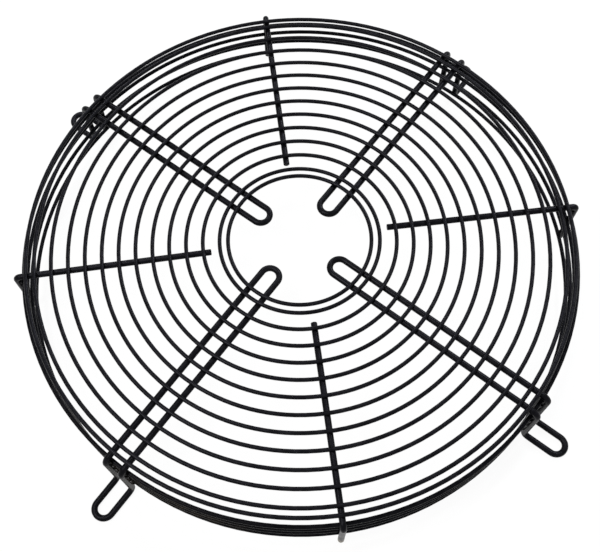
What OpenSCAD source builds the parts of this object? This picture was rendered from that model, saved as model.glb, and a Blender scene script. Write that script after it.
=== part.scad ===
// Basket-shaped wire guard for the blade side of an axial fan.
// Round steel wire, resistance welded at every crossing and coated black.
// Z = 0 is the plane on which the four mounting feet rest, +Z points out of the
// grille face and the Z axis is the axis of the fan. The hairpins lie along the
// X and Y axes, the single spokes halfway between them. Millimetres throughout.

/* [Wire] */
// Coated thickness of the wire of all the rings
ring_d = 2.9; // [2:0.1:4]
// Coated thickness of the wire of the hairpins and of the single spokes
strut_d = 4.5; // [3:0.1:6]
// Room left between two wires at each weld
weld_gap = 0.05; // [0:0.05:0.3]

/* [Grille face] */
// Radius of the innermost ring, which frames the motor opening
inner_ring_r = 51.2; // [48:0.2:60]
// Spacing of the face rings; the first and the last step are half of it
ring_pitch = 12; // [10:0.25:15]

/* [Wall] */
// How far the wall rings stand out from the outermost face ring
wall_step = 4; // [3:0.2:8]
// First wall ring, below the face rings
wall_drop_1 = 10.6; // [10.5:0.1:14]
// Second wall ring, below the face rings
wall_drop_2 = 20.2; // [18.5:0.1:25]
// Third wall ring, below the face rings
wall_drop_3 = 31.5; // [29:0.1:35]
// Fourth wall ring, below the face rings
wall_drop_4 = 44.1; // [40:0.1:45]
// Height of the face rings above the wire of the feet, centre to centre
guard_h = 51.5; // [51:0.5:70]

/* [Hairpins] */
// Distance between the two legs of a hairpin, centre to centre
hairpin_w = 13.3; // [10:0.1:16]
// Reach of the inner loops towards the axis, as a radius to the wire centre
loop_r = 28.6; // [24:0.2:34]
// Reach of the feet, as a radius to the wire centre of their end loops
foot_r = 232; // [222:0.5:245]
// Inside radius of the bend where the face turns down into the wall
top_bend = 3; // [1:0.1:3.5]
// Inside radius of the bend where the wall turns out into a foot
foot_bend = 2.2; // [1:0.1:2.5]

/* [Single spokes] */
// Reach of the cut inner end past the third face ring
spoke_tail = 5.5; // [3:0.5:8]
// Gap between the cut lower end and the plane under the feet
spoke_lift = 1.5; // [0.5:0.5:8]
// Inside radius of the bend at the rim
spoke_bend = 1; // [0.8:0.1:3.5]
// Chamfer left by shearing and coating on the cut ends
end_chamfer = 0.4; // [0.2:0.1:0.8]

/* [Trueness as welded] */
// Error of azimuth of the hairpins at 0, 90, 180 and 270 degrees
hairpin_trim = [-0.4, -0.3, 0.4, 0.3];
// Skew of the single spokes at 45, 135, 225 and 315 degrees about their middle
spoke_skew = [-1.3, -0.7, 0, -0.7];

/* [Hidden] */
ring_fn = 180;
wire_fn = 36;
bend_fn = 72;
face_rings = 14;
first_spoke_ring = 3;

function ring_r(k) = inner_ring_r + (k == 1 ? 0 : k == face_rings
    ? ring_pitch * (face_rings - 2) : ring_pitch * (k - 1.5));

weld_dist = (ring_d + strut_d) / 2 + weld_gap;
foot_z = strut_d / 2;
ring_z = foot_z + guard_h;
strut_z = ring_z - weld_dist;
rim_r = ring_r(face_rings);
wall_ring_r = rim_r + wall_step;
leg_r = wall_ring_r + weld_dist;
loop_arc_r = hairpin_w / 2;
spoke_in_r = ring_r(first_spoke_ring) - spoke_tail;
spoke_mid_r = (spoke_in_r + leg_r) / 2;
top_bend_r = top_bend + strut_d / 2;
foot_bend_r = foot_bend + strut_d / 2;
spoke_bend_r = spoke_bend + strut_d / 2;

wire_black = [0.09, 0.09, 0.11];
hairpin_tone = [0.16, 0.17, 0.20];
spoke_tone = [0.24, 0.25, 0.29];

// A closed ring of round wire about the Z axis.
module ring(r, z) {
    translate([0, 0, z])
        rotate_extrude($fn = ring_fn)
            translate([r, 0])
                circle(d = ring_d, $fn = wire_fn);
}

module face_ring(k) {
    color(wire_black) ring(ring_r(k), ring_z);
}

module wall_ring(drop) {
    color(wire_black) ring(wall_ring_r, ring_z - drop);
}

// A straight length of strut wire along +X from x0 to x1 in the XZ plane.
module run_x(x0, x1, z) {
    translate([x0, 0, z])
        rotate([0, 90, 0])
            cylinder(h = x1 - x0, d = strut_d, $fn = wire_fn);
}

// A straight length of strut wire along +Z from z0 to z1.
module run_z(x, z0, z1) {
    translate([x, 0, z0])
        cylinder(h = z1 - z0, d = strut_d, $fn = wire_fn);
}

// A quarter turn of strut wire in the XZ plane round the point x, z.
// quarter 0 runs from +X to +Z, quarter 2 from -X to -Z.
module quarter_bend(x, z, bend_r, quarter) {
    translate([x, 0, z])
        rotate([90, 0, 0])
            rotate_extrude(angle = 90, start = quarter * 90, $fn = bend_fn)
                translate([bend_r, 0])
                    circle(d = strut_d, $fn = wire_fn);
}

// The half loop that joins the two legs of a hairpin, open towards +X or -X.
module half_loop(x, z, start_angle) {
    translate([x, 0, z])
        rotate_extrude(angle = 180, start = start_angle, $fn = bend_fn)
            translate([loop_arc_r, 0])
                circle(d = strut_d, $fn = wire_fn);
}

// One leg of a hairpin: along the face, down the wall, out into the foot.
module hairpin_leg() {
    run_x(loop_r + loop_arc_r, leg_r - top_bend_r, strut_z);
    quarter_bend(leg_r - top_bend_r, strut_z - top_bend_r, top_bend_r, 0);
    run_z(leg_r, foot_z + foot_bend_r, strut_z - top_bend_r);
    quarter_bend(leg_r + foot_bend_r, foot_z + foot_bend_r, foot_bend_r, 2);
    run_x(leg_r + foot_bend_r, foot_r - loop_arc_r, foot_z);
}

// A hairpin is one closed loop of wire, drawn out long and bent twice.
module hairpin(k) {
    color(hairpin_tone)
        rotate([0, 0, 90 * (k - 1) + hairpin_trim[k - 1]])
            union() {
                half_loop(loop_r + loop_arc_r, strut_z, 90);
                translate([0, loop_arc_r, 0]) hairpin_leg();
                translate([0, -loop_arc_r, 0]) hairpin_leg();
                half_loop(foot_r - loop_arc_r, foot_z, -90);
            }
}

// A chamfered cut end, drawn at the origin with its tip towards +Z.
module cut_end() {
    cylinder(h = end_chamfer, d1 = strut_d, d2 = strut_d - 2 * end_chamfer, $fn = wire_fn);
}

// A single spoke: one straight wire with one bend and two cut ends.
module spoke(k) {
    low_z = spoke_lift + end_chamfer;
    color(spoke_tone)
        rotate([0, 0, 90 * k - 45])
            translate([spoke_mid_r, 0, 0])
                rotate([0, 0, spoke_skew[k - 1]])
                    translate([-spoke_mid_r, 0, 0])
                        union() {
                            translate([spoke_in_r + end_chamfer, 0, strut_z])
                                rotate([0, -90, 0]) cut_end();
                            run_x(spoke_in_r + end_chamfer, leg_r - spoke_bend_r, strut_z);
                            quarter_bend(leg_r - spoke_bend_r, strut_z - spoke_bend_r, spoke_bend_r, 0);
                            run_z(leg_r, low_z, strut_z - spoke_bend_r);
                            translate([leg_r, 0, low_z])
                                rotate([180, 0, 0]) cut_end();
                        }
}

face_ring(1);  // face_ring_01
face_ring(2);  // face_ring_02
face_ring(3);  // face_ring_03
face_ring(4);  // face_ring_04
face_ring(5);  // face_ring_05
face_ring(6);  // face_ring_06
face_ring(7);  // face_ring_07
face_ring(8);  // face_ring_08
face_ring(9);  // face_ring_09
face_ring(10);  // face_ring_10
face_ring(11);  // face_ring_11
face_ring(12);  // face_ring_12
face_ring(13);  // face_ring_13
face_ring(14);  // face_ring_14
wall_ring(wall_drop_1);  // wall_ring_1
wall_ring(wall_drop_2);  // wall_ring_2
wall_ring(wall_drop_3);  // wall_ring_3
wall_ring(wall_drop_4);  // wall_ring_4
hairpin(1);  // hairpin_1
hairpin(2);  // hairpin_2
hairpin(3);  // hairpin_3
hairpin(4);  // hairpin_4
spoke(1);  // spoke_1
spoke(2);  // spoke_2
spoke(3);  // spoke_3
spoke(4);  // spoke_4
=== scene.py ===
"""Wire fan guard: coatings, weld beads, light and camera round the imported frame."""

import math
import random

import bpy
from mathutils import Matrix, Vector

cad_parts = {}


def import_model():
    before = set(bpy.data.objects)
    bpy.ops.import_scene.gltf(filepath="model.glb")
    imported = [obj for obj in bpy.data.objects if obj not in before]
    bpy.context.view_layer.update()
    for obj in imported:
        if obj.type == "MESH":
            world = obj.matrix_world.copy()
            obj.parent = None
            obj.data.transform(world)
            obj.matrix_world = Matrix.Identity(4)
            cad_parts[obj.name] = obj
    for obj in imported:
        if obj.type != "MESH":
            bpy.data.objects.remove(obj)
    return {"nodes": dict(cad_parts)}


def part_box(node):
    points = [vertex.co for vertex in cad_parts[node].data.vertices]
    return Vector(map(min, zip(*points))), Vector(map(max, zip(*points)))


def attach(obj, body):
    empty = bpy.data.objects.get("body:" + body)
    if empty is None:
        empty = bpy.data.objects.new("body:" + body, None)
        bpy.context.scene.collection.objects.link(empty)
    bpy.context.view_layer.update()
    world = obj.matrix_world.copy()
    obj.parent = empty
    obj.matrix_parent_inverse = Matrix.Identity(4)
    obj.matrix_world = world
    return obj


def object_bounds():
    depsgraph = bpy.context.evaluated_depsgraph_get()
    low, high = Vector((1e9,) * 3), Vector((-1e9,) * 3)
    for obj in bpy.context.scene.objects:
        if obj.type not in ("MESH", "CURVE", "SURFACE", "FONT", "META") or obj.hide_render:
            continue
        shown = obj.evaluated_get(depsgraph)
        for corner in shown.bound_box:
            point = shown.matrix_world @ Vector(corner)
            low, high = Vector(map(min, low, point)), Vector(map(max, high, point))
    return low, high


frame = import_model()
CAD_LOW, CAD_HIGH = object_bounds()

MM = 0.001
UP = Vector((0, 0, 1))
FACE_RINGS = [f"face_ring_{k:02d}" for k in range(1, 15)]
WALL_RINGS = [f"wall_ring_{k}" for k in range(1, 5)]
HAIRPINS = [f"hairpin_{k}" for k in range(1, 5)]
SPOKES = [f"spoke_{k}" for k in range(1, 5)]
BARE_SPOKE = "spoke_4"

# Sizes that the boxes of the nodes can't give, as in the part's source. Angles in degrees.
STRUT_D = 4.5 * MM
WELD_GAP = 0.05 * MM
HAIRPIN_W = 13.3 * MM
HAIRPIN_TRIM = (-0.4, -0.3, 0.4, 0.3)
SPOKE_SKEW = (-1.3, -0.7, 0.0, -0.7)
FIRST_SPOKE_RING = 3
SPOKE_TAIL = 5.5 * MM


def ring_size(name):
    """(radius of the wire's centre line, its height, the wire's diameter) of a ring."""
    low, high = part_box(name)
    wire = high.z - low.z
    return high.x - wire / 2, (high.z + low.z) / 2, wire


FACE = [ring_size(name) for name in FACE_RINGS]
WALL = [ring_size(name) for name in WALL_RINGS]
RING_D = FACE[0][2]
WELD_DIST = (RING_D + STRUT_D) / 2 + WELD_GAP
STRUT_Z = FACE[0][1] - WELD_DIST
LEG_R = WALL[0][0] + WELD_DIST
SPOKE_IN = FACE[FIRST_SPOKE_RING - 1][0] - SPOKE_TAIL
SPOKE_MID = (SPOKE_IN + LEG_R) / 2


def link(thing):
    bpy.context.scene.collection.objects.link(thing)


def make_object(name, verts, faces, material):
    mesh = bpy.data.meshes.new(name)
    mesh.from_pydata(verts, [], faces)
    mesh.update()
    mesh.materials.append(material)
    thing = bpy.data.objects.new(name, mesh)
    link(thing)
    return thing


# --- node trees --------------------------------------------------------------


class Nodes:
    """A short way to write the node tree of a material or a world."""

    def __init__(self, owner):
        owner.use_nodes = True
        self.tree = owner.node_tree
        self.tree.nodes.clear()

    def add(self, kind, sockets=None, **values):
        """Adds a node. Each socket gets a link or a value, and each setting its value."""
        node = self.tree.nodes.new(kind)
        for key, value in values.items():
            setattr(node, key, value)
        for socket, value in (sockets or {}).items():
            if isinstance(value, bpy.types.NodeSocket):
                self.tree.links.new(value, node.inputs[socket])
            else:
                node.inputs[socket].default_value = value
        return node.outputs

    def noise(self, place, scale, detail=2.0, roughness=0.5):
        sockets = {"Vector": place, "Scale": scale, "Detail": detail, "Roughness": roughness}
        return self.add("ShaderNodeTexNoise", sockets)["Fac"]

    def span(self, value, low, high, to_low=0.0, to_high=1.0):
        """A smooth step from to_low, where value is low, to to_high, where it is high."""
        sockets = {0: value, 1: low, 2: high, 3: to_low, 4: to_high}
        return self.add("ShaderNodeMapRange", sockets, interpolation_type="SMOOTHSTEP")[0]

    def math(self, operation, a, b):
        return self.add("ShaderNodeMath", {0: a, 1: b}, operation=operation)[0]

    def times(self, a, b):
        return self.math("MULTIPLY", a, b)

    def blend(self, share, a, b):
        return self.add("ShaderNodeMix", {0: share, 6: a, 7: b}, data_type="RGBA")[2]

    def mix_shaders(self, share, a, b):
        return self.add("ShaderNodeMixShader", {0: share, 1: a, 2: b})[0]

    def background_ray(self):
        """1 for a ray that shows the background: from the camera, a mirror or glass."""
        path = self.add("ShaderNodeLightPath")
        seen = self.math("MAXIMUM", path["Is Camera Ray"], path["Is Glossy Ray"])
        return self.math("MAXIMUM", seen, path["Is Transmission Ray"])


# --- coatings ----------------------------------------------------------------

# Linear colours.
BLACK = (0.0062, 0.0061, 0.0080, 1)
BLACK_DEEP = (0.0013, 0.0013, 0.0019, 1)
DUST = (0.015, 0.0142, 0.0130, 1)
# Painted brownish highlight, used as a base colour on one stretch of the wall.
BROWN_HIGHLIGHT = (0.026, 0.0195, 0.0125, 1)
SHEEN = (0.86, 0.86, 1.0, 1)
STEEL = (0.36, 0.325, 0.262, 1)
STEEL_DARK = (0.14, 0.124, 0.100, 1)

# Noise cells to the metre.
MOTTLE_SCALE = 160.0
PATCH_SCALE = 38.0
PEEL_SCALE = 2300.0
SPECK_SCALE = 5200.0
GRAIN_SCALE = 900.0

DUST_SHARE = 0.35
# How strongly the painted brownish highlight is mixed into the coat's colour.
BROWN_HIGHLIGHT_SHARE = 0.75
SPECK_SHARE = 0.4
BUMP_STRENGTH = 0.35
BUMP_DEPTH = 0.06 * MM
ROUGH_LOW, ROUGH_HIGH = 0.26, 0.36
STEEL_ROUGH_LOW, STEEL_ROUGH_HIGH = 0.42, 0.6
STEEL_METALLIC = 0.6

# Specular levels. The wall rings are duller, as in the photograph.
RING_SHINE = 0.082
WALL_SHINE = 0.045
STRUT_SHINE = 0.068

# The painted brownish highlight of the wall, put into the coat's colour: full before the
# first Y and gone past the second, and by height from the foot up to the rim.
BROWN_Y = (-200 * MM, -165 * MM)
BROWN_FOOT_Z = (4 * MM, 10 * MM)
BROWN_RIM_Z = (36 * MM, 47 * MM)

# The bare tip of one spoke: all steel at the lower height, all coated at the upper one,
# along a ragged edge.
BARE_Z = (5 * MM, 16 * MM)
BARE_RAGGED = 6 * MM


# Where the painted brownish highlight goes: the wall by one foot, broken up by the mottle.
def brown_highlight_share(n, along, mottle):
    near_foot = n.span(along[1], *BROWN_Y, 1.0, 0.0)
    above_foot = n.span(along[2], *BROWN_FOOT_Z)
    below_rim = n.span(along[2], *BROWN_RIM_Z, 1.0, 0.0)
    on_wall = n.times(below_rim, above_foot)
    return n.times(n.times(near_foot, on_wall), n.span(mottle, 0.35, 0.6))


def steel_shader(n, place, normal):
    grain = n.noise(place, GRAIN_SCALE, 5.0, 0.7)
    sockets = {
        "Base Color": n.blend(n.span(grain, 0.35, 0.65), STEEL_DARK, STEEL),
        "Roughness": n.span(grain, 0.3, 0.7, STEEL_ROUGH_LOW, STEEL_ROUGH_HIGH),
        "Metallic": STEEL_METALLIC,
        "Normal": normal,
    }
    return n.add("ShaderNodeBsdfPrincipled", sockets)[0]


def coat(name, shine, bare_tip=False):
    """Black coating on wire, with bare steel at the lower end if bare_tip."""
    material = bpy.data.materials.new(name)
    n = Nodes(material)
    place = n.add("ShaderNodeTexCoord")["Object"]
    along = n.add("ShaderNodeSeparateXYZ", {0: place})
    mottle = n.noise(place, MOTTLE_SCALE, 4.0, 0.6)
    patches = n.noise(place, PATCH_SCALE, 3.0, 0.55)
    peel = n.noise(place, PEEL_SCALE, 2.0)
    specks = n.noise(place, SPECK_SCALE, 1.0)

    colour = n.blend(n.span(mottle, 0.35, 0.68), BLACK_DEEP, BLACK)
    dust = n.times(n.span(patches, 0.52, 0.75), n.span(mottle, 0.4, 0.7))
    colour = n.blend(n.times(dust, DUST_SHARE), colour, DUST)
    # Painted brownish highlight on the wall by one foot, mixed into the base colour.
    colour = n.blend(n.times(brown_highlight_share(n, along, mottle), BROWN_HIGHLIGHT_SHARE), colour, BROWN_HIGHLIGHT)

    bump = n.math("ADD", peel, n.times(specks, SPECK_SHARE))
    sockets = {"Strength": BUMP_STRENGTH, "Distance": BUMP_DEPTH, "Height": bump}
    normal = n.add("ShaderNodeBump", sockets)[0]
    sockets = {
        "Base Color": colour,
        "Roughness": n.span(mottle, 0.3, 0.7, ROUGH_LOW, ROUGH_HIGH),
        "Specular IOR Level": shine,
        "Specular Tint": SHEEN,
        "Normal": normal,
    }
    surface = n.add("ShaderNodeBsdfPrincipled", sockets)[0]
    if bare_tip:
        offset = n.times(n.math("SUBTRACT", patches, 0.5), BARE_RAGGED)
        bare = n.span(n.math("ADD", along[2], offset), *BARE_Z, 1.0, 0.0)
        surface = n.mix_shaders(bare, surface, steel_shader(n, place, normal))
    n.add("ShaderNodeOutputMaterial", {"Surface": surface})
    return material


def dress(names, material):
    for name in names:
        slots = frame["nodes"][name].data.materials
        slots.clear()
        slots.append(material)


STRUT_COAT = coat("strut_coat", STRUT_SHINE)
dress(FACE_RINGS, coat("ring_coat", RING_SHINE))
dress(WALL_RINGS, coat("wall_coat", WALL_SHINE))
dress(HAIRPINS + SPOKES, STRUT_COAT)
dress([BARE_SPOKE], coat("tip_coat", STRUT_SHINE, bare_tip=True))


# --- weld beads --------------------------------------------------------------

BEAD_TURN = 20
BEAD_RISE = 4
BEAD_GAP = 0.62 * MM
BEAD_SINK = 0.25 * MM
BEAD_WAIST = 0.16
BEAD_SIZES = (0.9, 1.25)
BEAD_LEAN = 0.1
BEAD_LEAN_TURN = 1.3
BEAD_LOBES = 3
BEAD_LOBE_SIZE = 0.06
BEAD_LOBE_TURN = 20
REACH_STEP = 0.05 * MM
REACH_STEPS = 40
CROSSING_LIMIT = 0.3
CROSSING_HALVINGS = 40
FIRST_SEED = 11


def bead(rng, verts, faces, middle, strut_dir, ring_dir, outward):
    """Adds the small saddle of weld metal between a strut and the ring that crosses it.
    middle is the point between the two wires and outward points from strut to ring."""
    size = rng.uniform(*BEAD_SIZES)
    lean = rng.uniform(-BEAD_LEAN, BEAD_LEAN)
    strut_r, ring_r = STRUT_D / 2, RING_D / 2
    gap = BEAD_GAP * size
    rows = []
    for i in range(BEAD_TURN):
        turn = 2 * math.pi * i / BEAD_TURN
        along, across = math.cos(turn), math.sin(turn)
        # The saddle's rim is where the two wires have come this far apart.
        reach = 0.0
        for _ in range(REACH_STEPS):
            reach += REACH_STEP
            low = strut_r - math.sqrt(max(strut_r**2 - (reach * across) ** 2, 0))
            high = ring_r - math.sqrt(max(ring_r**2 - (reach * along) ** 2, 0))
            if low + high > gap:
                break
        lobes = BEAD_LOBE_SIZE * math.cos(BEAD_LOBES * turn + lean * BEAD_LOBE_TURN)
        reach *= 1 + lean * math.cos(turn + BEAD_LEAN_TURN) + lobes
        row = []
        for j in range(BEAD_RISE + 1):
            v = j / BEAD_RISE
            waist = 1 - BEAD_WAIST * math.sin(math.pi * v)
            height = -low - BEAD_SINK + v * (low + high + 2 * BEAD_SINK)
            point = strut_dir * (reach * waist * along) + ring_dir * (reach * waist * across)
            verts.append(middle + point + outward * height)
            row.append(len(verts) - 1)
        rows.append(row)
    for i in range(BEAD_TURN):
        a, b = rows[i], rows[(i + 1) % BEAD_TURN]
        for j in range(BEAD_RISE):
            faces.append((a[j], b[j], b[j + 1], a[j + 1]))
    faces.append(tuple(row[0] for row in reversed(rows)))
    faces.append(tuple(row[BEAD_RISE] for row in rows))


def make_piece(name, verts, faces, material):
    piece = make_object(name, verts, faces, material)
    polygons = piece.data.polygons
    # The sides are smooth, and the two many-sided caps inside the wires are flat.
    polygons.foreach_set("use_smooth", [len(p.vertices) == 4 for p in polygons])
    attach(piece, "root")


def hairpin_frame(k, side):
    """Matrix that takes a point of a straight leg along X to its place."""
    turn = Matrix.Rotation(math.radians(90 * k + HAIRPIN_TRIM[k]), 4, "Z")
    return turn @ Matrix.Translation((0, side * HAIRPIN_W / 2, 0))


def spoke_frame(k):
    """Matrix that takes a point of the straight spoke to its skewed place."""
    skew = Matrix.Rotation(math.radians(SPOKE_SKEW[k]), 4, "Z")
    middle = Matrix.Translation((SPOKE_MID, 0, 0))
    turn = Matrix.Rotation(math.radians(45 + 90 * k), 4, "Z")
    return turn @ middle @ skew @ middle.inverted()


def crossing(place, radius):
    """Distance along a strut's own X at which it is radius from the axis."""
    low, high = 0.0, CROSSING_LIMIT
    for _ in range(CROSSING_HALVINGS):
        middle = (low + high) / 2
        if (place @ Vector((middle, 0, 0))).length < radius:
            low = middle
        else:
            high = middle
    return (low + high) / 2


def weld_strut(rng, place, first_ring, verts, faces):
    """Adds the beads of one strut, from the first face ring that it crosses outwards
    and then down the wall."""
    to_weld = STRUT_D / 2 + WELD_GAP / 2
    along = (place.to_3x3() @ Vector((1, 0, 0))).normalized()
    for radius, _, _ in FACE[first_ring:]:
        point = place @ Vector((crossing(place, radius), 0, 0))
        tangent = Vector((-point.y, point.x, 0)).normalized()
        point.z = STRUT_Z + to_weld
        bead(rng, verts, faces, point, along, tangent, UP)
    for _, height, _ in WALL:
        point = place @ Vector((LEG_R, 0, 0))
        inward = -Vector((point.x, point.y, 0)).normalized()
        tangent = Vector((-inward.y, inward.x, 0))
        point += inward * to_weld
        point.z = height
        bead(rng, verts, faces, point, UP, tangent, inward)


for k in range(4):
    rng = random.Random(FIRST_SEED + k)
    verts, faces = [], []
    for side in (-1, 1):
        weld_strut(rng, hairpin_frame(k, side), 0, verts, faces)
    make_piece(f"welds_{HAIRPINS[k]}", verts, faces, STRUT_COAT)
    verts, faces = [], []
    weld_strut(rng, spoke_frame(k), FIRST_SPOKE_RING - 1, verts, faces)
    make_piece(f"welds_{SPOKES[k]}", verts, faces, STRUT_COAT)


# --- floor, light and camera -------------------------------------------------

# The floor is a matt grey to the light that falls on the part. Where it is seen it
# glows, with a thin matt share on top that holds the part's shadow.
FLOOR_HALF = 4.0
FLOOR_DROP = 0.05 * MM
FLOOR_MATT = (0.6, 0.6, 0.6, 1)
FLOOR_SHADOWED = (0.085, 0.085, 0.085, 1)
FLOOR_GLOW = 0.94

WHITE = (1, 1, 1, 1)
FILL = (0.93, 0.96, 1.0, 1)
FILL_STRENGTH = 0.12

SOFTBOX_FAR = 1.6
SOFTBOX_SIZE = 0.32
# name, azimuth and elevation in degrees, power in watts, colour
SOFTBOXES = (
    ("key", 90, 38, 9.2, (0.93, 0.96, 1.0)),
    ("front_left", 247.5, 56, 7.8, (1.0, 0.97, 0.94)),
    ("back_left", 152, 42, 6.8, (0.97, 0.98, 1.0)),
    ("overhead", 225, 75, 5.6, (1.0, 0.98, 0.96)),
    ("back_right", 72, 56, 5.0, (0.93, 0.96, 1.0)),
)

# The photograph's camera, as solved from the rings. The sensor in millimetres.
SENSOR_WIDTH = 36.0
LENS = 54.426
SHIFT = (0.01313, -0.00412)
CLIP = (0.01, 20.0)
CAMERA_PLACE = (175.08 * MM, -226.28 * MM, 635.21 * MM)
CAMERA_TURN = (23.975, 0.813, 37.152)


def floor():
    material = bpy.data.materials.new("floor")
    n = Nodes(material)
    matt = n.add("ShaderNodeBsdfDiffuse", {"Color": FLOOR_MATT})[0]
    shadowed = n.add("ShaderNodeBsdfDiffuse", {"Color": FLOOR_SHADOWED})[0]
    glow = n.add("ShaderNodeEmission", {"Color": WHITE, "Strength": FLOOR_GLOW})[0]
    shown = n.add("ShaderNodeAddShader", {0: shadowed, 1: glow})[0]
    surface = n.mix_shaders(n.background_ray(), matt, shown)
    n.add("ShaderNodeOutputMaterial", {"Surface": surface})
    half, z = FLOOR_HALF, CAD_LOW.z - FLOOR_DROP
    corners = [(-half, -half, z), (half, -half, z), (half, half, z), (-half, half, z)]
    plane = make_object("floor", corners, [(0, 1, 2, 3)], material)


def world():
    """White where it is seen, and a weak bluish fill as light."""
    sky = bpy.data.worlds.new("studio")
    bpy.context.scene.world = sky
    n = Nodes(sky)
    fill = n.add("ShaderNodeBackground", {"Color": FILL, "Strength": FILL_STRENGTH})[0]
    white = n.add("ShaderNodeBackground", {"Color": WHITE})[0]
    surface = n.mix_shaders(n.background_ray(), fill, white)
    n.add("ShaderNodeOutputWorld", {"Surface": surface})


def softbox(name, azimuth, elevation, power, colour):
    """Square area light that looks at the frame's origin from this direction."""
    data = bpy.data.lights.new(name, "AREA")
    data.shape = "SQUARE"
    data.size = SOFTBOX_SIZE
    data.energy = power
    data.color = colour
    lamp = bpy.data.objects.new(name, data)
    turn, rise = math.radians(azimuth), math.radians(elevation)
    flat = math.cos(rise)
    aim = Vector((flat * math.cos(turn), flat * math.sin(turn), math.sin(rise)))
    lamp.location = aim * SOFTBOX_FAR
    lamp.rotation_euler = aim.to_track_quat("Z", "Y").to_euler()
    link(lamp)


def photo_camera():
    data = bpy.data.cameras.new("photo_camera")
    data.sensor_width = SENSOR_WIDTH
    data.lens = LENS
    data.shift_x, data.shift_y = SHIFT
    data.clip_start, data.clip_end = CLIP
    camera = bpy.data.objects.new("photo_camera", data)
    camera.location = CAMERA_PLACE
    camera.rotation_euler = [math.radians(angle) for angle in CAMERA_TURN]
    link(camera)
    bpy.context.scene.camera = camera


floor()
world()
for softbox_values in SOFTBOXES:
    softbox(*softbox_values)
photo_camera()
bpy.context.scene.view_settings.view_transform = "Standard"
